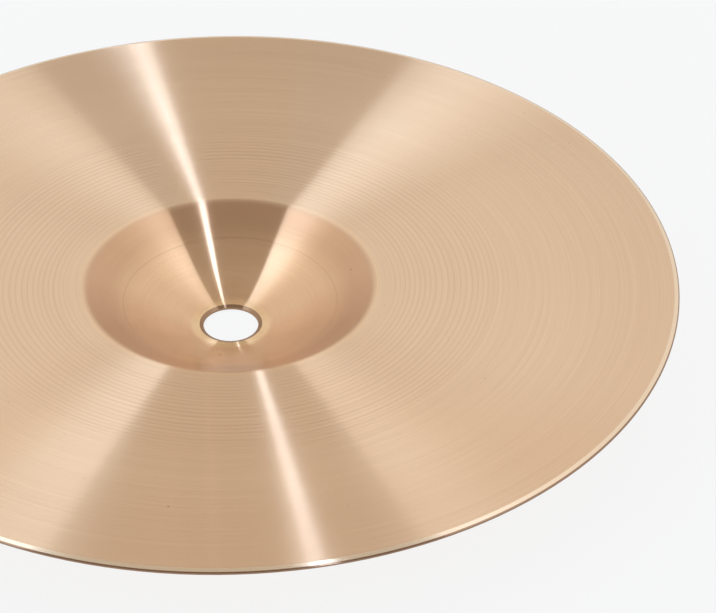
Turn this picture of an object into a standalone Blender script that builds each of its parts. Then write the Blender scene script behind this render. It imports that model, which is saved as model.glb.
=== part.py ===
"""Accent cymbal: one bronze disc, lying on the crown of its bell with the hollow side up.

The whole cymbal is a single turned wall. Its hollow face is a chain of arcs, each tangent to
the next: a flat pad round the hole, the crown, a straight wall, the shoulder and the bow. The
outer face is the same chain set off by the thickness, and small arcs round the rim close the
outline, which then turns about the Z axis.

Lengths are in metres. The origin is on the axis, on the underside of the pad.
"""

import math
from collections import namedtuple

import bpy
import numpy as np

# The disc
DIAMETER = 0.2032
THICKNESS = 0.0010

# The bow, from the fold round the bell up to the rim
BOW_RISE = 0.00615

# The bell, measured on the hollow side to the fold, where its straight wall would meet the bow
BELL_DIAMETER = 0.0662
BELL_DEPTH = 0.0121
BELL_WALL_LENGTH = 0.0147
SHOULDER_RADIUS = 0.0040

# The hole and the flat pad round it, where felt washers bear
HOLE_DIAMETER = 0.0127
PAD_WIDTH = 0.0029
PAD_CORNER_RADIUS = 0.0050
LEAD_WIDTH = 0.0009
LEAD_DEPTH = 0.00035
HOLE_BREAK = 0.0002

# The rim: a shallow bevel turned on the hollow side, then rounded corners
BEVEL_WIDTH = 0.0011
BEVEL_DROP = 0.00017
HOLLOW_CORNER_RADIUS = 0.00025
OUTER_CORNER_RADIUS = 0.00030

# The most of the thickness that one small corner or bevel may take from an edge of the wall
CORNER_SHARE = 0.35

# Facets round the axis, and along each arc of the outline
TURN_STEPS = 96
PAD_STEPS = 2
CROWN_STEPS = 5
SHOULDER_STEPS = 5
BOW_STEPS = 7
CORNER_STEPS = 3

# Outline points closer than this are one point
TOUCHING = 1e-6

PART_NAME = "accent_cymbal"
BRONZE_COLOUR = (0.66, 0.42, 0.24, 1.0)
BRONZE_ROUGHNESS = 0.32

Arc = namedtuple("Arc", "centre reach start end steps")
Arc.__doc__ = """A round stretch of the outline, drawn clockwise with the metal on its right.

centre is (radius, height). start and end are the headings of the outline, as angles from
outward, and a point is centre + reach * right, where right is the unit vector to the right of
the heading. So reach is positive where the metal lies outside the arc, as on the hollow face
of a dome, and negative where the arc is a rounded edge of the metal.
"""


def arc_points(arc, offset=0.0):
    """Points along an arc, moved towards the metal by offset."""
    heading = np.linspace(arc.start, arc.end, arc.steps + 1)
    right = np.column_stack([np.sin(heading), -np.cos(heading)])
    return np.array(arc.centre) + (arc.reach + offset) * right


def within_wall(size):
    """A small corner's size, kept inside its share of the wall."""
    return min(size, CORNER_SHARE * THICKNESS)


def dome_between(inner, outer, straight=0.0):
    """Centre height and radius of a dome about the axis that starts at the inner point.

    It ends at the outer point or, with a straight, where a tangent of that length leaves for it.
    """
    rise = outer[1] - inner[1]
    span = outer[0] ** 2 - inner[0] ** 2 - straight**2
    centre_height = inner[1] + (span + rise**2) / (2 * rise)
    return centre_height, math.hypot(inner[0], centre_height - inner[1])


def hollow_arcs():
    """The arcs of the hollow face, from the pad out to the bow's end at the rim's bevel."""
    pad_edge = (HOLE_DIAMETER / 2 + PAD_WIDTH, THICKNESS)
    fold = (BELL_DIAMETER / 2, THICKNESS + BELL_DEPTH)
    bow_end = (DIAMETER / 2 - BEVEL_WIDTH, THICKNESS + BELL_DEPTH + BOW_RISE)

    # The crown starts at the pad's edge, and the wall runs straight from it to the fold
    crown_centre, crown_radius = dome_between(pad_edge, fold, BELL_WALL_LENGTH)
    fold_heading = math.atan2(fold[0], crown_centre - fold[1])
    wall_heading = fold_heading - math.atan2(BELL_WALL_LENGTH, crown_radius)

    # The corner between pad and crown touches both from inside the hollow
    corner_height = pad_edge[1] + PAD_CORNER_RADIUS
    to_corner = crown_radius - PAD_CORNER_RADIUS
    corner_out = math.sqrt(to_corner**2 - (crown_centre - corner_height) ** 2)
    crown_heading = math.atan2(corner_out, crown_centre - corner_height)

    # The shoulder touches the wall and the bow from within the metal
    bow_centre, bow_radius = dome_between(fold, bow_end)
    wall_along = np.array([math.cos(wall_heading), math.sin(wall_heading)])
    wall_right = np.array([math.sin(wall_heading), -math.cos(wall_heading)])
    start = np.array(fold) + SHOULDER_RADIUS * wall_right
    away = start - (0.0, bow_centre)
    back = away @ wall_along
    reach = bow_radius + SHOULDER_RADIUS
    slide = -back - math.sqrt(back**2 + reach**2 - away @ away)
    shoulder_centre = start + slide * wall_along
    bow_heading = math.atan2(shoulder_centre[0], bow_centre - shoulder_centre[1])
    bow_end_heading = math.asin(bow_end[0] / bow_radius)

    return [
        Arc((corner_out, corner_height), PAD_CORNER_RADIUS, 0.0, crown_heading, PAD_STEPS),
        Arc((0.0, crown_centre), crown_radius, crown_heading, wall_heading, CROWN_STEPS),
        Arc(shoulder_centre, -SHOULDER_RADIUS, wall_heading, bow_heading, SHOULDER_STEPS),
        Arc((0.0, bow_centre), bow_radius, bow_heading, bow_end_heading, BOW_STEPS),
    ]


def rim_corners(bow):
    """The two rounded corners of the rim: the bevel's, and the one that meets the outer face."""
    radius = DIAMETER / 2
    down = -math.pi / 2

    # The bevel falls from the bow's end to the first corner
    round_in = within_wall(HOLLOW_CORNER_RADIUS)
    drop = within_wall(BEVEL_DROP)
    bevel_heading = -math.atan2(drop, BEVEL_WIDTH - round_in)
    hollow_height = arc_points(bow)[-1][1] - drop - round_in
    hollow_corner = Arc((radius - round_in, hollow_height), -round_in, bevel_heading, down, CORNER_STEPS)

    # The outer corner touches the bow's outer face from inside the metal
    round_out = within_wall(OUTER_CORNER_RADIUS)
    to_corner = bow.reach + THICKNESS - round_out
    below_centre = math.sqrt(to_corner**2 - (radius - round_out) ** 2)
    inward = math.atan2(radius - round_out, below_centre) - math.pi
    outer_height = bow.centre[1] - below_centre
    outer_corner = Arc((radius - round_out, outer_height), -round_out, down, inward, CORNER_STEPS)
    return [hollow_corner, outer_corner]


def wall_outline():
    """The closed outline of the wall, clockwise in the (radius, height) plane."""
    bore = HOLE_DIAMETER / 2
    hole_break = within_wall(HOLE_BREAK)
    hollow = hollow_arcs()
    bow = hollow[-1]
    corners = rim_corners(bow)

    # The bow's outer face ends at the rim's corner, a little further out than its hollow face
    outer = hollow[:-1] + [bow._replace(end=corners[-1].end + math.pi)]

    outline = [[(bore, THICKNESS - within_wall(LEAD_DEPTH)), (bore + LEAD_WIDTH, THICKNESS)]]
    outline += [arc_points(arc) for arc in hollow + corners]
    outline += [arc_points(arc, THICKNESS)[::-1] for arc in reversed(outer)]
    outline += [[(bore + hole_break, 0.0), (bore, hole_break)]]
    points = np.vstack(outline)

    # Arcs that touch share an end, which is kept once
    apart = np.linalg.norm(points - np.roll(points, 1, axis=0), axis=1) > TOUCHING
    return points[apart]


def make_bronze():
    """Cast and lathe-turned bronze, bright and a little satin along its lathe lines."""
    bronze = bpy.data.materials.new("bronze")
    bronze.use_nodes = True
    shader = bronze.node_tree.nodes["Principled BSDF"]
    shader.inputs["Base Color"].default_value = BRONZE_COLOUR
    shader.inputs["Metallic"].default_value = 1.0
    shader.inputs["Roughness"].default_value = BRONZE_ROUGHNESS
    bronze.diffuse_color = BRONZE_COLOUR
    return bronze


def make_cymbal(collection):
    """The wall's outline as a loop of edges, turned a full circle about Z."""
    outline = wall_outline()
    count = len(outline)
    mesh = bpy.data.meshes.new("cymbal")
    corners = np.column_stack([outline[:, 0], np.zeros(count), outline[:, 1]])
    edges = [(i, (i + 1) % count) for i in range(count)]
    mesh.from_pydata(corners.tolist(), edges, [])
    mesh.materials.append(make_bronze())

    cymbal = bpy.data.objects.new("cymbal", mesh)
    collection.objects.link(cymbal)
    turn = cymbal.modifiers.new("turn", "SCREW")
    turn.axis = "Z"
    turn.angle = math.tau
    turn.steps = TURN_STEPS
    turn.render_steps = TURN_STEPS
    turn.use_merge_vertices = True
    turn.merge_threshold = TOUCHING
    turn.use_smooth_shade = True

    # The small corners at the rim and the hole take their shading from the large faces
    shading = cymbal.modifiers.new("even_shading", "WEIGHTED_NORMAL")
    shading.keep_sharp = True
    return cymbal


def main():
    for old in list(bpy.data.objects):
        bpy.data.objects.remove(old, do_unlink=True)
    collection = bpy.data.collections.new(PART_NAME)
    bpy.context.scene.collection.children.link(collection)
    make_cymbal(collection)


main()
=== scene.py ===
"""Accent cymbal: the looks of one lathe-turned bronze disc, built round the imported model.

The disc lies on its bell with the hollow side up. Its mesh is one closed turned surface, with
the lathe's grooves cut into both faces, and its bronze is rougher across those grooves than
along them, which draws every light out into a bright sector.

Lengths are in metres, and angles in radians where nothing says degrees.
"""

import math

import bpy
import numpy as np
from bpy.props import FloatProperty, FloatVectorProperty, IntProperty, PointerProperty
from mathutils import Matrix, Vector


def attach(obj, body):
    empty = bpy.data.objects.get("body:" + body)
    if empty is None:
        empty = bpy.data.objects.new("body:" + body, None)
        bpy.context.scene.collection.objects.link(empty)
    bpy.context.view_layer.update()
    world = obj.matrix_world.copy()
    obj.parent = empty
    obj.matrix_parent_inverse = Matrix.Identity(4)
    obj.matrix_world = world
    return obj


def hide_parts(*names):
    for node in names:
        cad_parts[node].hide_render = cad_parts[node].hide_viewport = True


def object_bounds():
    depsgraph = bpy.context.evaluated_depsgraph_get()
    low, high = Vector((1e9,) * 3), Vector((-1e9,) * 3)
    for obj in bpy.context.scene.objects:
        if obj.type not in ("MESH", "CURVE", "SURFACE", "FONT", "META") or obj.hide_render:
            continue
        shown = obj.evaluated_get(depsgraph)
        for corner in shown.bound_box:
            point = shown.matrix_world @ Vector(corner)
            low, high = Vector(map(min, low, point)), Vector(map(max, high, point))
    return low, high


bl_info = {
    "name": "Accent cymbal",
    "version": (1, 0, 0),
    "blender": (4, 5, 0),
    "location": "View3D > Sidebar > Cymbal",
    "description": "Builds a small lathe-turned bronze cymbal and its studio",
    "category": "Object",
}

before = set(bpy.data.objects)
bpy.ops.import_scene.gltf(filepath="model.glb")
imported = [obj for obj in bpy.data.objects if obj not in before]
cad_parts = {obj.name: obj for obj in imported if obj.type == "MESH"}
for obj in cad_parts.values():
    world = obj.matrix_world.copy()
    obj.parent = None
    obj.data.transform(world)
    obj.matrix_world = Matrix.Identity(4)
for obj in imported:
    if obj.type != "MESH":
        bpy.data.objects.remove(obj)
CAD_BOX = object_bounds()

# The photograph's frame in pixels, and the camera's sensor in millimetres
IMAGE_WIDTH = 716
IMAGE_HEIGHT = 613
SENSOR_WIDTH = 36.0

# Facets of a rounded corner, and the angle between two faces past which their edge is sharp
CORNER_STEPS = 8
SHARP_ANGLE = math.radians(16)

# Bands of the bow with grooves: start, end and share of the full depth. Beyond both ends the
# grooves fade over a width.
GROOVED_BANDS = ((0.038, 0.058, 1.0), (0.077, 0.084, 0.42))
GROOVE_FADE = 0.006

# How far the grooves and the fine lines wander, in pitches, and how fast, in radians a metre
GROOVE_WANDER = 0.3
GROOVE_WANDER_RATE = 310.0
FINE_WANDER = 0.5
FINE_WANDER_RATE = 770.0

# How much shallower some grooves are, as a share, and how fast that changes, in radians a metre
UNEVEN_SHARE = 0.25
UNEVEN_RATE = 2100.0

# Where the wandering starts on each face, so that the grooves of the two don't match
HOLLOW_PHASE = 0.0
STRUCK_PHASE = 1.7

# Lengths over which the lathe's work starts and ends on a face, the last at the struck rim
WORK_RUN = 0.001
RIM_RUN = 0.002

# Width of the line turned into the bell, and how far the mesh is made fine on both its sides
RING_WIDTH = 0.00011
RING_MARGIN = 0.0003

# Radius out to which the mesh of the bow is fine, past its deepest grooves
FINE_MESH_END = 0.064

# Zones of the bronze by radius: the strength of each, then its edges. An edge runs from the
# radius with none of the zone to the radius with all of it. The ring, the wall, the grooves, the
# lead and the edge are painted shade, and the bevel is a painted highlight.
ZONES = {
    "lead": (0.85, (0.00735, 0.00715)),
    "hole": (1.00, (0.0100, 0.0082)),
    "ring": (0.15, (0.02425, 0.02450), (0.02475, 0.02450)),
    "wall": (0.40, (0.0215, 0.0290), (0.0338, 0.0325)),
    "fold": (0.30, (0.0334, 0.0339), (0.0345, 0.0340)),
    "bell": (0.80, (0.0345, 0.0315)),
    "grooves": (0.13, (0.034, 0.040), (0.066, 0.056)),
    "outer bow": (0.07, (0.072, 0.092)),
    "bevel": (0.70, (0.10040, 0.10055)),
    "edge": (0.90, (0.10125, 0.10142)),
}

# Lines that follow the lathe: noise cells a metre of radius, and how much it varies round it
FINE_LINES = (2600.0, 1.6)
COARSE_LINES = (900.0, 0.7)
SLOW_BANDS = (90.0, 0.35)
NOISE_MIDDLE = 0.5

# The power that narrows the painted shade, a dark line, at the bottom of a groove
GROOVE_SHARPNESS = 5.0

# Specks: noise cells a metre, and the values of the noise where a speck starts and is full
SPECK_SCALE = 620.0
SPECK_EDGES = (0.80, 0.83)

# Tarnish all over the disc, and what the lines and the specks add to it
TARNISH = 0.08
FINE_TARNISH = 0.20
COARSE_TARNISH = 0.07
BAND_TARNISH = 0.04
SPECK_TARNISH = 0.50

# What the lines and the specks add to the roughness
COARSE_ROUGHNESS = 0.02
BAND_ROUGHNESS = 0.03
SPECK_ROUGHNESS = 0.20

# The finest relief: the shares of its two kinds of lines, its depth and its strength
FINE_HEIGHT = 0.6
COARSE_HEIGHT = 0.4
RELIEF_DEPTH = 0.000012
RELIEF_STRENGTH = 0.35

# Share of the gloss that comes from the sides of the finest lines
SIDES_SHARE = 0.84

# The light tent by fan angle in degrees: soft boxes with a gap between them, a strip in the gap
BOX_FANS = (0, 25, 40, 48, 54, 65, 115, 122, 132, 145, 180)
BOX_GLOWS = (0.86, 0.88, 0.98, 1.25, 1.7, 1.9, 1.35, 1.45, 1.1, 0.9, 0.86)
GAP = (65.0, 115.0)
STRIP = (99.3, 101.8)
STRIP_GLOW = 4.0

# The wall behind the gap, by how much its direction points away from the camera
WALL_DEPTHS = (-0.15, 0.25, 0.40, 0.75)
WALL_GLOWS = (0.30, 0.46, 0.50, 0.86)

# The even middle of the tent: the reach at its border, the width of the border, and its glow
EVEN_REACH = 0.38
EVEN_BORDER = 0.16
EVEN_GLOW = 0.95

# Red, green and blue: what a bright box adds to white, and the tints of the gap and the strip
BOX_TINT = np.array([-0.06, 0.13, 0.42])
GAP_TINT = np.array([1.04, 0.98, 0.90])
STRIP_TINT = np.array([0.92, 1.15, 1.6])

# The tent's mesh: degrees to a step of the fan, steps of the reach, and the share of the reach
# that it takes, which keeps its border just over the floor
FAN_STEP = 3.0
REACH_STEPS = 24
REACH_SHARE = 0.9999

# The floor's facets round the axis, its inner rings, and its width over the tent's
FLOOR_STEPS = 96
FLOOR_RINGS = (0.001, 0.2, 1.0)
FLOOR_OVER_TENT = 1.02

WHITE = (1.0, 1.0, 1.0, 1.0)
PALE = (0.93, 0.93, 0.93, 1.0)


def length(name, description, default):
    """A size property, in metres."""
    return FloatProperty(
        name=name, description=description, default=default, min=0.0, unit="LENGTH", precision=5
    )


def number(name, description, default, **limits):
    """A plain number property."""
    return FloatProperty(name=name, description=description, default=default, **limits)


def angle(name, description, degrees):
    """An angle property, whose default is given in degrees."""
    return number(name, description, math.radians(degrees), subtype="ANGLE")


def colour(name, description, default):
    """A colour property, in linear light."""
    return FloatVectorProperty(
        name=name,
        description=description,
        default=default,
        size=3,
        subtype="COLOR",
        min=0.0,
        max=1.0,
    )


class CymbalSizes(bpy.types.PropertyGroup):
    """The disc's turned profile."""

    diameter: length("Diameter", "Across the rim", 2 * CAD_BOX[1].x)
    thickness: length("Thickness", "Of the wall, the same all over", 0.0010)
    bow_rise: length("Bow rise", "From the fold round the bell up to the rim", 0.00615)
    bell_diameter: length("Bell diameter", "Across the fold round the bell", 0.0662)
    bell_depth: length("Bell depth", "From the pad up to the fold", 0.0121)
    wall_length: length("Bell wall", "Straight part of the bell, down from the fold", 0.0147)
    shoulder: length("Shoulder radius", "Where the bell's wall turns over into the bow", 0.0040)
    hole: length("Hole", "Diameter of the mounting hole", 0.0127)
    pad: length("Pad width", "Flat ring round the hole", 0.0029)
    pad_corner: length("Pad corner", "Radius between the pad and the crown", 0.0050)
    lead_width: length("Lead width", "Of the bevel round the hole", 0.0009)
    lead_depth: length("Lead depth", "Of the bevel round the hole", 0.00035)
    hole_break: length("Hole break", "Small bevel under the hole", 0.0002)
    bevel_width: length("Rim bevel width", "Shallow bevel on the rim's hollow side", 0.0011)
    bevel_drop: length("Rim bevel drop", "Fall of that bevel", 0.00017)
    hollow_corner: length("Rim's upper corner", "Radius on the hollow side", 0.00025)
    outer_corner: length("Rim's lower corner", "Radius on the struck side", 0.00030)


class LatheWork(bpy.types.PropertyGroup):
    """Grooves that the lathe's tools leave, and how finely the mesh follows them."""

    turn_steps: IntProperty(
        name="Turn steps", description="Facets round the axis", default=176, min=24
    )
    groove_pitch: length("Groove pitch", "Between two grooves of the bow", 0.00125)
    groove_depth: length("Groove depth", "Of the deepest grooves", 0.0000065)
    fine_pitch: length("Fine pitch", "Between the tool's finer lines", 0.00072)
    fine_depth: length("Fine depth", "Of the tool's finer lines", 0.0000008)
    ring_radius: length("Inner ring", "Radius of the line turned into the bell", 0.0245)
    ring_depth: length("Inner ring depth", "Depth of that line", 0.000020)


class BronzeFinish(bpy.types.PropertyGroup):
    """Colour and polish of the bronze."""

    bronze: colour("Bronze", "Turned metal of the bow", (0.81, 0.58, 0.385))
    bell: colour("Bell bronze", "Turned metal inside the bell", (0.80, 0.51, 0.30))
    golden: colour("Golden bronze", "Brighter metal round the hole", (0.88, 0.62, 0.36))
    # The tarnish colour also paints shade on the bell's wall and ring, and at the bottoms of the
    # grooves
    tarnish_and_shade: colour("Tarnish", "Specks and the bottoms of the grooves", (0.44, 0.23, 0.13))
    # The dark colour of the rim's edge and of the hole's lead is painted shade
    edge: colour("Edge", "Dull metal of the rim's edge and the hole's lead", (0.27, 0.15, 0.09))
    # The bright line on the rim's bevel is a painted highlight
    bright: colour("Bright line", "Freshly cut metal of the rim's bevel", (0.94, 0.76, 0.56))
    roughness: number("Roughness", "Mean roughness of the metal", 0.155, min=0.0, max=1.0)
    lean: number("Lean", "Slope of the finest lines' sides", 0.22, min=0.0, max=1.0)
    anisotropy: number("Anisotropy", "How much rougher across the lines", 1.0, min=0.0, max=1.0)


class Studio(bpy.types.PropertyGroup):
    """Camera, light and floor."""

    elevation: angle("Elevation", "Of the camera above the rim's plane", 35.63)
    roll: angle("Roll", "Of the camera about its line of sight", 1.33)
    distance: length("Distance", "From the camera to the middle of the rim", 0.4886)
    focal: number("Focal length", "Of the lens, in pixels of the photograph", 2150.0)
    aim_x: number("Aim across", "Column of the rim's middle in the photograph", 229.4)
    aim_y: number("Aim down", "Row of the rim's middle in the photograph", 259.0)
    tent_radius: length("Tent radius", "Of the light tent over the disc", 3.0)
    floor_glow: number("Floor glow", "Light that the floor gives by itself", 0.86, min=0.0)
    floor_colour: colour("Floor colour", "Of the floor's matt surface", (0.08, 0.08, 0.08))


# Shapes


def hollow_face(size):
    """The hollow face as knots (radius, sine of the heading), with straight lines between them.

    The heading is the profile's angle from outward. On a round stretch its sine grows evenly
    with the radius and on a straight one it stays, so the knots are the ends of the stretches:
    pad, pad corner, crown, straight wall, shoulder and bow, each tangent to the next. With the
    knots come the bow's centre height and its radius.
    """
    pad = (size.hole / 2 + size.pad, size.thickness)
    fold = (size.bell_diameter / 2, pad[1] + size.bell_depth)
    rim = (size.diameter / 2 - size.bevel_width, fold[1] + size.bow_rise)

    def dome(inner, outer, straight=0.0):
        """Centre height and radius of a dome about the axis that starts at the inner point.

        It ends at the outer point or, with a straight, where a tangent of that length leaves
        for it.
        """
        rise = outer[1] - inner[1]
        span = outer[0] ** 2 - inner[0] ** 2 - straight**2
        centre = inner[1] + (span + rise**2) / (2 * rise)
        return centre, math.hypot(inner[0], centre - inner[1])

    # The crown starts at the pad's edge, and the wall runs straight from it to the fold
    crown_centre, crown = dome(pad, fold, size.wall_length)
    wall = math.atan2(fold[0], crown_centre - fold[1]) - math.atan2(size.wall_length, crown)

    # The corner between pad and crown touches both from inside the hollow
    drop = crown_centre - pad[1] - size.pad_corner
    corner_out = math.sqrt((crown - size.pad_corner) ** 2 - drop**2)
    crown_start = corner_out / (crown - size.pad_corner)

    # The shoulder touches the wall and the bow from within the metal
    bow_centre, bow = dome(fold, rim)
    start = Vector(fold) + size.shoulder * Vector((math.sin(wall), -math.cos(wall)))
    away = start - Vector((0.0, bow_centre))
    back = away.dot(Vector((math.cos(wall), math.sin(wall))))
    slide = -back - math.sqrt(back**2 + (bow + size.shoulder) ** 2 - away.length_squared)
    shoulder_out = start.x + slide * math.cos(wall)
    bow_start = shoulder_out / (bow + size.shoulder)

    radius = size.diameter / 2
    knots = [
        (size.hole / 2 + size.lead_width, 0.0),
        (corner_out, 0.0),
        (crown * crown_start, crown_start),
        (crown * math.sin(wall), math.sin(wall)),
        (shoulder_out - size.shoulder * math.sin(wall), math.sin(wall)),
        (bow * bow_start, bow_start),
        (radius, radius / bow),
    ]
    return np.array(knots), bow_centre, bow


def face_points(knots, base, radii):
    """Points and inward normals of the hollow face at the given radii.

    Over any stretch the height grows by the step in radius times the tangent of the mean of
    its two headings, which holds for a round stretch and a straight one alike.
    """
    headings = np.arcsin(knots[:, 1])
    rises = np.diff(knots[:, 0]) * np.tan((headings[1:] + headings[:-1]) / 2)
    heights = base + np.concatenate([[0.0], np.cumsum(rises)])
    heading = np.arcsin(np.interp(radii, knots[:, 0], knots[:, 1]))
    last = np.clip(np.searchsorted(knots[:, 0], radii, side="right") - 1, 0, len(knots) - 2)
    step = radii - knots[last, 0]
    height = heights[last] + step * np.tan((headings[last] + heading) / 2)
    points = np.column_stack([radii, height])
    inward = np.column_stack([np.sin(heading), -np.cos(heading)])
    return points, inward


def band(radii, low, high, fade):
    """One from low to high, and zero past a fade beyond each, over which it is 3 t² - 2 t³."""
    rise = np.clip((radii - low + fade) / fade, 0.0, 1.0)
    fall = np.clip((high + fade - radii) / fade, 0.0, 1.0)
    return rise * rise * (3 - 2 * rise) * fall * fall * (3 - 2 * fall)


def between_ends(radii, start, end, run_in, run_out):
    """Zero at start and end, growing evenly from each, over its run, to one between them."""
    return np.clip((radii - start) / run_in, 0, 1) * np.clip((end - radii) / run_out, 0, 1)


def wave(radii, pitch, wander, rate, phase):
    """A raised cosine, one to a pitch, moved by wander times the sine of rate times radius."""
    turns = radii / pitch + wander * np.sin(radii * rate + phase)
    return 0.5 + 0.5 * np.cos(math.tau * turns)


def groove_cut(lathe, radii, phase):
    """Depth of the lathe's cut at the given radii: the grooves, the fine lines and the ring.

    A groove is a raised cosine squared, times the bands that hold it and a quick sine that
    makes some grooves shallower. A fine line is a raised cosine. The ring is e to the minus
    square of the distance from its radius, in ring widths.
    """
    strong = sum(share * band(radii, low, high, GROOVE_FADE) for low, high, share in GROOVED_BANDS)
    strong = strong * (1 - UNEVEN_SHARE + UNEVEN_SHARE * np.sin(radii * UNEVEN_RATE + phase))
    groove = wave(radii, lathe.groove_pitch, GROOVE_WANDER, GROOVE_WANDER_RATE, phase) ** 2
    fine = wave(radii, lathe.fine_pitch, FINE_WANDER, FINE_WANDER_RATE, phase)
    ring = np.exp(-(((radii - lathe.ring_radius) / RING_WIDTH) ** 2))
    return lathe.groove_depth * strong * groove + lathe.fine_depth * fine + lathe.ring_depth * ring


def stations(*stretches):
    """Radii along a face: each stretch (start, end, step) is cut into even steps."""
    runs = [
        np.linspace(start, end, max(2, math.ceil((end - start) / step)), endpoint=False)
        for start, end, step in stretches
    ]
    return np.concatenate([*runs, [stretches[-1][1]]])


def rounded(centre, radius, start, end):
    """A rounded corner of the metal, clockwise from one heading to another.

    A point is the centre less the radius times (sine, minus cosine) of the heading.
    """
    heading = np.linspace(start, end, CORNER_STEPS + 1)
    return np.array(centre) - radius * np.column_stack([np.sin(heading), -np.cos(heading)])


def disc_section(size, lathe):
    """The closed outline of the wall, clockwise in the (radius, height) plane.

    The struck face is the hollow one moved by the thickness along its normals, and each face
    is cut by the lathe's depth along them.
    """
    knots, bow_centre, bow = hollow_face(size)
    bore = size.hole / 2
    radius = size.diameter / 2
    down = -math.pi / 2
    pad, corner, crown, _wall, shoulder, bow_start = knots[:6, 0]
    ring_start = lathe.ring_radius - RING_MARGIN
    ring_end = lathe.ring_radius + RING_MARGIN

    # The hollow face, finer at the inner ring, the shoulder and the deep grooves
    hollow_end = radius - size.bevel_width
    hollow_radii = stations(
        (pad, corner, 0.0002),
        (corner, crown, 0.00015),
        (crown, ring_start, 0.0003),
        (ring_start, ring_end, 0.00006),
        (ring_end, shoulder, 0.0003),
        (shoulder, bow_start, 0.00013),
        (bow_start, FINE_MESH_END, 0.00021),
        (FINE_MESH_END, hollow_end, 0.00034),
    )
    hollow, inward = face_points(knots, size.thickness, hollow_radii)
    worked = between_ends(hollow_radii, pad, hollow_end, WORK_RUN, WORK_RUN)
    hollow = hollow + inward * (worked * groove_cut(lathe, hollow_radii, HOLLOW_PHASE))[:, None]

    # The rim: the bevel, its corner, the edge and the corner that meets the struck face
    round_in = size.hollow_corner
    bevel = -math.atan2(size.bevel_drop, size.bevel_width - round_in)
    upper_centre = (radius - round_in, hollow[-1][1] - size.bevel_drop - round_in)
    upper = rounded(upper_centre, round_in, bevel, down)
    round_out = size.outer_corner
    to_corner = bow + size.thickness - round_out
    below = math.sqrt(to_corner**2 - (radius - round_out) ** 2)
    back_in = math.atan2(radius - round_out, below) - math.pi
    lower = rounded((radius - round_out, bow_centre - below), round_out, down, back_in)

    # The struck face, which ends where the lower corner meets it
    struck_end = bow * math.sin(back_in + math.pi)
    struck_radii = stations(
        (pad, corner, 0.0005),
        (corner, crown, 0.0003),
        (crown, shoulder, 0.0007),
        (shoulder, bow_start, 0.0003),
        (bow_start, struck_end, 0.00058),
    )
    struck, inward = face_points(knots, size.thickness, struck_radii)
    worked = between_ends(struck_radii, corner, struck_end, WORK_RUN, RIM_RUN)
    cut = groove_cut(lathe, struck_radii, STRUCK_PHASE) * worked
    struck = struck + inward * (size.thickness - cut)[:, None]

    lead = [(bore, size.thickness - size.lead_depth)]
    foot = [(bore + size.hole_break, 0.0), (bore, size.hole_break)]
    return np.vstack([lead, hollow, upper, lower, struck[-2::-1], foot])


def turned_points(section, steps):
    """Points of a section turned about the axis: each is at (r cos a, r sin a, z)."""
    azimuth = math.tau * np.arange(steps) / steps
    points = np.empty((steps, len(section), 3))
    points[..., 0] = np.cos(azimuth)[:, None] * section[:, 0]
    points[..., 1] = np.sin(azimuth)[:, None] * section[:, 0]
    points[..., 2] = section[:, 1]
    return points.reshape(-1, 3)


def turned_quads(steps, count, closed):
    """Faces between neighbours of a grid that closes round the axis.

    Each goes from a point to the next azimuth, on along the section, and back. The section is
    count points long and may be closed too.
    """
    i, j = np.meshgrid(np.arange(steps), np.arange(count if closed else count - 1), indexing="ij")
    here, there = i * count, (i + 1) % steps * count
    after = (j + 1) % count
    corners = [here + j, there + j, there + after, here + after]
    return np.stack(corners, axis=-1).reshape(-1, 4)


def make_disc_mesh(name, section, steps):
    """The section turned into a closed smooth surface, with its faces outwards."""
    points = turned_points(section, steps)
    quads = turned_quads(steps, len(section), closed=True)[:, ::-1]
    mesh = bpy.data.meshes.new(name)
    mesh.vertices.add(len(points))
    mesh.vertices.foreach_set("co", points.astype(np.float32).ravel())
    mesh.loops.add(quads.size)
    mesh.loops.foreach_set("vertex_index", quads.astype(np.int32).ravel())
    mesh.polygons.add(len(quads))
    mesh.polygons.foreach_set("loop_start", np.arange(0, quads.size, 4, dtype=np.int32))
    mesh.update(calc_edges=True)
    mesh.polygons.foreach_set("use_smooth", np.ones(len(quads), bool))
    mesh.validate()
    mesh.set_sharp_from_angle(angle=SHARP_ANGLE)
    return mesh


def add_object(name, mesh, material):
    """Puts a mesh with its material into the scene, at the origin."""
    mesh.materials.append(material)
    thing = bpy.data.objects.new(name, mesh)
    bpy.context.scene.collection.objects.link(thing)
    return thing


# Finishes


class Wire:
    """A shader socket that adds Math nodes when it is used in Python arithmetic."""

    def __init__(self, shop, socket):
        self.shop = shop
        self.socket = socket

    def beside(self, output):
        """Another output of the node that this wire comes from."""
        return Wire(self.shop, self.socket.node.outputs[output])

    def math(self, operation, first, second):
        return self.shop.node("ShaderNodeMath", {"operation": operation}, {0: first, 1: second})

    def __add__(self, other):
        return self.math("ADD", self, other)

    def __radd__(self, other):
        return self.math("ADD", other, self)

    def __sub__(self, other):
        return self.math("SUBTRACT", self, other)

    def __rsub__(self, other):
        return self.math("SUBTRACT", other, self)

    def __mul__(self, other):
        return self.math("MULTIPLY", self, other)

    def __rmul__(self, other):
        return self.math("MULTIPLY", other, self)

    def __pow__(self, other):
        return self.math("POWER", self, other)

    def sine(self):
        return self.math("SINE", self, 0.0)


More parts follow.
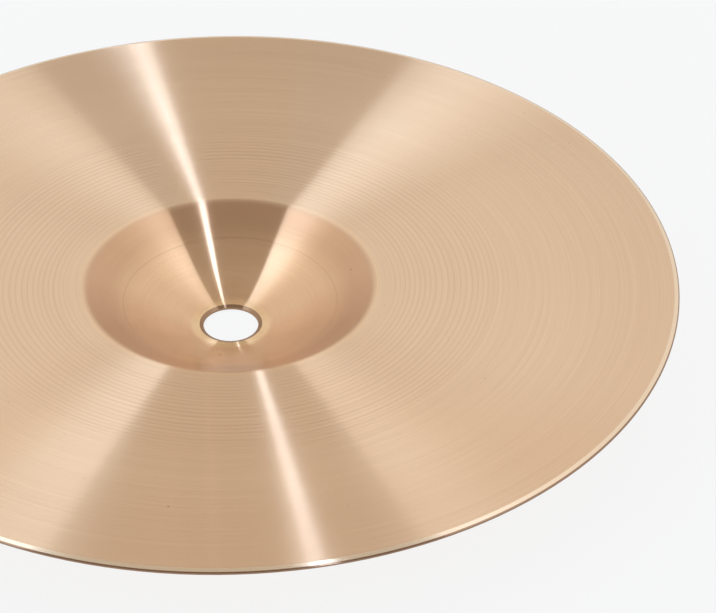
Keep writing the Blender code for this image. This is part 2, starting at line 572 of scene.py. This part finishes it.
class Shop:
    """Makes the nodes of one material or world."""

    def __init__(self, owner):
        owner.use_nodes = True
        self.tree = owner.node_tree
        self.tree.nodes.clear()

    def node(self, kind, settings=None, sockets=None, output=0):
        """Adds a node: its settings first, then a value or a wire for each socket."""
        made = self.tree.nodes.new(kind)
        for name, setting in (settings or {}).items():
            setattr(made, name, setting)
        for name, value in (sockets or {}).items():
            if isinstance(value, Wire):
                self.tree.links.new(value.socket, made.inputs[name])
            else:
                made.inputs[name].default_value = value
        return Wire(self, made.outputs[output]) if len(made.outputs) else made

    def vector(self, operation, *values):
        """A Vector Math node."""
        settings = {"operation": operation}
        return self.node("ShaderNodeVectorMath", settings, dict(enumerate(values)))

    def smooth(self, value, low, high):
        """Zero at low and one at high, with a smooth step between. low may be above high."""
        if low > high:
            return 1 - self.smooth(value, high, low)
        settings = {"interpolation_type": "SMOOTHSTEP"}
        sockets = {"Value": value, "From Min": low, "From Max": high}
        return self.node("ShaderNodeMapRange", settings, sockets)

    def mix(self, factor, first, second):
        """The first colour where factor is zero, the second where it is one.

        A Mix node has its colours at the inputs 6 and 7, and the mixed one at the output 2.
        """
        colours = [c if isinstance(c, Wire) else (*c, 1.0) for c in (first, second)]
        sockets = {0: factor, 6: colours[0], 7: colours[1]}
        return self.node("ShaderNodeMix", {"data_type": "RGBA"}, sockets, 2)

    def noise(self, vector, scale, detail=2.0):
        """Smooth noise from zero to one."""
        sockets = {"Vector": vector, "Scale": scale, "Detail": detail, "Roughness": 0.5}
        return self.node("ShaderNodeTexNoise", {}, sockets)

    def blend(self, factor, first, second):
        """A Mix Shader node: the first shader where factor is zero, the second where one."""
        return self.node("ShaderNodeMixShader", {}, {0: factor, 1: first, 2: second})


def make_bronze(finish, lathe):
    """Turned bronze: fine lines and slow bands by radius, a redder bell, a golden ring, specks.

    Radius is the square root of x squared plus y squared, and every zone and line goes by it.
    Painted shade darkens the bell's wall and ring, the grooves, the hole's lead and the rim's edge,
    and a painted highlight brightens the rim's bevel.
    """
    bronze = bpy.data.materials.new("turned_bronze")
    shop = Shop(bronze)
    place = shop.node("ShaderNodeTexCoord", {}, {}, "Object")
    x = shop.node("ShaderNodeSeparateXYZ", {}, {"Vector": place}, "X")
    y = x.beside("Y")
    radius = (x * x + y * y) ** 0.5
    outward = shop.vector("NORMALIZE", shop.vector("MULTIPLY", place, (1.0, 1.0, 0.0)))

    def lines(per_metre, round_axis):
        """Noise that follows the lathe: quick along the radius and slow round the axis."""
        along = shop.node("ShaderNodeCombineXYZ", {}, {"Z": radius * per_metre})
        across = (round_axis, round_axis, 0.0)
        return shop.noise(shop.vector("MULTIPLY_ADD", outward, across, along), 1.0)

    def zone(name):
        """A zone of the bronze: its strength times the smooth step of each of its edges."""
        strength, *edges = ZONES[name]
        inside = shop.smooth(radius, *edges[0])
        for edge in edges[1:]:
            inside = inside * shop.smooth(radius, *edge)
        return inside * strength

    fine = lines(*FINE_LINES)
    coarse = lines(*COARSE_LINES)
    bands = lines(*SLOW_BANDS)
    specks = shop.smooth(shop.noise(place, SPECK_SCALE, 1.0), *SPECK_EDGES)

    # The bottoms of the grooves in the mesh get painted shade, as thin darker lines. A cosine is
    # the sine a quarter of a turn on.
    wander = GROOVE_WANDER * (radius * GROOVE_WANDER_RATE).sine()
    turns = radius * (1 / lathe.groove_pitch) + wander
    groove = (0.5 + 0.5 * (turns * math.tau + math.pi / 2).sine()) ** GROOVE_SHARPNESS

    shade = shop.mix(zone("bell"), finish.bronze, finish.bell)
    # Painted shade, darker and redder, on the bell's wall and in its ring
    shade = shop.mix(zone("wall") + zone("ring"), shade, finish.tarnish_and_shade)
    shade = shop.mix(zone("fold"), shade, finish.golden)
    shade = shop.mix(zone("hole"), shade, finish.golden)
    # Tone of the turned lines and tarnish all over, with painted shade at the bottoms of the
    # grooves
    line_tone_and_groove_shade = (
        (fine - NOISE_MIDDLE) * FINE_TARNISH
        + (coarse - NOISE_MIDDLE) * COARSE_TARNISH
        + (bands - NOISE_MIDDLE) * BAND_TARNISH
        + groove * zone("grooves")
    )
    line_tone_and_groove_shade = shop.node("ShaderNodeClamp", {}, {"Value": line_tone_and_groove_shade + TARNISH})
    shade = shop.mix(line_tone_and_groove_shade + zone("outer bow"), shade, finish.tarnish_and_shade)
    shade = shop.mix(specks * SPECK_TARNISH, shade, finish.tarnish_and_shade)
    # A painted highlight on the rim's bevel
    shade = shop.mix(zone("bevel"), shade, finish.bright)
    # Painted shade on the hole's lead and the rim's edge
    shade = shop.mix(zone("lead") + zone("edge"), shade, finish.edge)

    rough = (
        finish.roughness
        + (bands - NOISE_MIDDLE) * BAND_ROUGHNESS
        + (coarse - NOISE_MIDDLE) * COARSE_ROUGHNESS
        + specks * SPECK_ROUGHNESS
    )
    height = fine * FINE_HEIGHT + coarse * COARSE_HEIGHT
    relief = {"Strength": RELIEF_STRENGTH, "Distance": RELIEF_DEPTH, "Height": height}
    turned = shop.node("ShaderNodeBump", {}, relief)

    def gloss(lean):
        """The gloss of lines whose sides lean inward or outward by this slope.

        Its highlight has a quarter of a turn, which lays it across the lines.
        """
        leaning = shop.vector("MULTIPLY_ADD", outward, (lean, lean, 0.0), turned)
        return shop.node(
            "ShaderNodeBsdfPrincipled",
            {},
            {
                "Base Color": shade,
                "Metallic": 1.0,
                "Roughness": rough,
                "Anisotropic": finish.anisotropy,
                "Anisotropic Rotation": 0.25,
                "Normal": shop.vector("NORMALIZE", leaning),
            },
        )

    # The lines' sides lean both ways, half of them by twice as much, and the rest lies flat
    near_sides = shop.blend(0.5, gloss(finish.lean), gloss(-finish.lean))
    far_sides = shop.blend(0.5, gloss(2 * finish.lean), gloss(-2 * finish.lean))
    sides = shop.blend(0.5, near_sides, far_sides)
    shader = shop.blend(SIDES_SHARE, gloss(0.0), sides)
    shop.node("ShaderNodeOutputMaterial", {}, {"Surface": shader})
    return bronze


def make_floor_finish(studio):
    """A pale matt floor that glows evenly, and lets a view from under it through."""
    finish = bpy.data.materials.new("pale_floor")
    shop = Shop(finish)
    surface = shop.node(
        "ShaderNodeBsdfPrincipled",
        {},
        {
            "Base Color": (*studio.floor_colour, 1.0),
            "Roughness": 1.0,
            "Specular IOR Level": 0.0,
            "Emission Color": WHITE,
            "Emission Strength": studio.floor_glow,
        },
    )
    clear = shop.node("ShaderNodeBsdfTransparent")
    under = shop.node("ShaderNodeNewGeometry", {}, {}, "Backfacing")
    both = shop.blend(under, surface, clear)
    shop.node("ShaderNodeOutputMaterial", {}, {"Surface": both})
    return finish


def make_tent_finish():
    """Light whose strength and tint are the tent's own, face by face."""
    finish = bpy.data.materials.new("tent_light")
    shop = Shop(finish)
    glow = shop.node("ShaderNodeAttribute", {"attribute_name": "glow"}, {}, "Color")
    light = shop.node("ShaderNodeEmission", {}, {"Color": glow})
    shop.node("ShaderNodeOutputMaterial", {}, {"Surface": light})
    return finish


# Stage


def tent_glow(fan, reach, depth):
    """Red, green and blue light of the tent, by fan angle in degrees, reach and depth.

    Soft boxes stand on both sides of a gap, brightest and coolest next to it. Through the gap
    shows a warm wall of a middle tone, which grows brighter with depth, and in front of it a
    cool narrow strip. Close to the mirror direction all of it blends into an even glow.
    """
    box = np.interp(fan, BOX_FANS, BOX_GLOWS)
    gap = (fan > GAP[0]) & (fan < GAP[1])
    strip = (fan > STRIP[0]) & (fan < STRIP[1])
    wall = np.interp(depth, WALL_DEPTHS, WALL_GLOWS)
    split = np.where(strip, STRIP_GLOW, np.where(gap, wall, box))
    even = np.clip((EVEN_REACH - reach) / EVEN_BORDER, 0, 1)
    glow = split + even * (EVEN_GLOW - split)

    cool = np.clip(box - 1.0, 0, 1)[:, None] * (1 - even[:, None])
    tint = np.where(gap[:, None], GAP_TINT, 1 + cool * BOX_TINT)
    tint = np.where((strip & (even < 0.5))[:, None], STRIP_TINT, tint)
    return glow[:, None] * tint


def make_tent(studio):
    """A half sphere of light, drawn as a fan about the direction that mirrors the camera.

    A point is at fan angle f and reach s: its unit direction is (s cos f, m + s sin f) on the
    level, where m is the level part of the camera's mirrored line of sight, and its height
    follows from unit length. A turned surface mirrors each fan angle along one azimuth.
    """
    mirror = math.cos(studio.elevation)
    half = np.unique(np.concatenate([np.arange(0, 180, FAN_STEP), GAP, STRIP]))
    fan = np.radians(np.concatenate([half, half + 180.0]))
    down = mirror * np.sin(fan)
    full_reach = -down + np.sqrt(down**2 + 1 - mirror**2)
    reach = full_reach[:, None] * np.linspace(0.0, 1.0, REACH_STEPS + 1) * REACH_SHARE
    x = reach * np.cos(fan)[:, None]
    y = mirror + reach * np.sin(fan)[:, None]
    z = np.sqrt(np.clip(1 - (x**2 + y**2), 0, None))
    points = np.stack([x, y, z], axis=-1).reshape(-1, 3)
    quads = turned_quads(*reach.shape, closed=False)

    # Each face has the light of its middle
    middle = points[quads].mean(1)
    middle /= np.linalg.norm(middle, axis=1)[:, None]
    turn = np.append(fan, math.tau)
    fan_middle = np.repeat(np.degrees((turn[1:] + turn[:-1]) / 2), REACH_STEPS)
    away = np.hypot(middle[:, 0], middle[:, 1] - mirror)
    glow = tent_glow(fan_middle % 180.0, away, middle[:, 1])

    mesh = bpy.data.meshes.new("light_tent")
    mesh.from_pydata((points * studio.tent_radius).tolist(), [], quads.tolist())
    attribute = mesh.attributes.new("glow", "FLOAT_COLOR", "FACE")
    opaque = np.column_stack([glow, np.ones(len(glow))])
    attribute.data.foreach_set("color", opaque.astype(np.float32).ravel())
    tent = add_object("light_tent", mesh, make_tent_finish())
    tent.visible_camera = False
    return tent


def make_floor(studio):
    """A round floor under the disc: rings of radius r at height zero, closed in the middle."""
    rings = [(ring, 0.0) for ring in (*FLOOR_RINGS, FLOOR_OVER_TENT * studio.tent_radius)]
    count = len(rings)
    points = turned_points(np.array(rings), FLOOR_STEPS)
    quads = turned_quads(FLOOR_STEPS, count, closed=False)[:, [0, 3, 2, 1]]
    middle = list(range(0, FLOOR_STEPS * count, count))
    mesh = bpy.data.meshes.new("floor")
    mesh.from_pydata(points.tolist(), [], [*quads.tolist(), middle])
    return add_object("floor", mesh, make_floor_finish(studio))


def make_camera(studio):
    """The camera: the rim's middle lands on its own pixel, with the lens unshifted."""
    elevation = studio.elevation
    place = studio.distance * Vector((0.0, -math.cos(elevation), math.sin(elevation)))
    ahead = -place.normalized()
    right = Vector((1.0, 0.0, 0.0))
    aim = Vector((
        (studio.aim_x - IMAGE_WIDTH / 2) / studio.focal,
        (IMAGE_HEIGHT / 2 - studio.aim_y) / studio.focal,
        1.0,
    ))
    turn = aim.rotation_difference(Vector((0.0, 0.0, 1.0))).to_matrix()
    basis = Matrix((right, right.cross(ahead), ahead))
    axes = turn.transposed() @ Matrix.Rotation(studio.roll, 3, "Z") @ basis
    pose = Matrix((axes[0], axes[1], -axes[2])).transposed().to_4x4()
    pose.translation = place + Vector((0.0, 0.0, CAD_BOX[1].z))

    lens = bpy.data.cameras.new("camera")
    lens.sensor_fit = "HORIZONTAL"
    lens.sensor_width = SENSOR_WIDTH
    lens.lens = studio.focal / IMAGE_WIDTH * SENSOR_WIDTH
    lens.clip_start = 0.01
    lens.clip_end = 20.0
    camera = bpy.data.objects.new("camera", lens)
    camera.matrix_world = pose
    bpy.context.scene.collection.objects.link(camera)
    bpy.context.scene.camera = camera


def make_world():
    """A pale world past the floor's edge."""
    world = bpy.data.worlds.new("pale_world")
    shop = Shop(world)
    sky = shop.node("ShaderNodeBackground", {}, {"Color": PALE, "Strength": 1.0})
    shop.node("ShaderNodeOutputWorld", {}, {"Surface": sky})
    bpy.context.scene.world = world


class CYMBAL_OT_disc(bpy.types.Operator):
    """Make the turned bronze disc"""

    bl_idname = "cymbal.disc"
    bl_label = "Turned disc"

    def execute(self, context):
        scene = context.scene
        section = disc_section(scene.cymbal_sizes, scene.cymbal_lathe)
        mesh = make_disc_mesh("turned_disc", section, scene.cymbal_lathe.turn_steps)
        disc = add_object("turned_disc", mesh, make_bronze(scene.cymbal_bronze, scene.cymbal_lathe))
        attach(disc, "root")
        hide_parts("cymbal")
        return {"FINISHED"}


class CYMBAL_OT_stage(bpy.types.Operator):
    """Make the floor, the light tent, the world and the camera"""

    bl_idname = "cymbal.stage"
    bl_label = "Stage"

    def execute(self, context):
        studio = context.scene.cymbal_studio
        make_floor(studio)
        make_tent(studio)
        make_world()
        make_camera(studio)
        context.scene.view_settings.view_transform = "Standard"
        return {"FINISHED"}


class CYMBAL_PT_panel(bpy.types.Panel):
    """Sizes, finish and studio of the cymbal"""

    bl_label = "Accent cymbal"
    bl_space_type = "VIEW_3D"
    bl_region_type = "UI"
    bl_category = "Cymbal"

    def draw(self, context):
        for name, title in GROUPS.items():
            box = self.layout.box()
            box.label(text=title)
            group = getattr(context.scene, name)
            for field in group.__annotations__:
                box.prop(group, field)
        self.layout.operator(CYMBAL_OT_disc.bl_idname)
        self.layout.operator(CYMBAL_OT_stage.bl_idname)


# Each group's name in the scene, with its title in the panel
GROUPS = {
    "cymbal_sizes": "Sizes",
    "cymbal_lathe": "Lathe work",
    "cymbal_bronze": "Bronze",
    "cymbal_studio": "Studio",
}
GROUP_TYPES = (CymbalSizes, LatheWork, BronzeFinish, Studio)
CLASSES = (*GROUP_TYPES, CYMBAL_OT_disc, CYMBAL_OT_stage, CYMBAL_PT_panel)


def register():
    for made in CLASSES:
        bpy.utils.register_class(made)
    for name, kind in zip(GROUPS, GROUP_TYPES):
        setattr(bpy.types.Scene, name, PointerProperty(type=kind))


def unregister():
    for name in GROUPS:
        delattr(bpy.types.Scene, name)
    for made in reversed(CLASSES):
        bpy.utils.unregister_class(made)


def main():
    register()
    bpy.ops.cymbal.stage()
    bpy.ops.cymbal.disc()


if __name__ == "__main__":
    main()
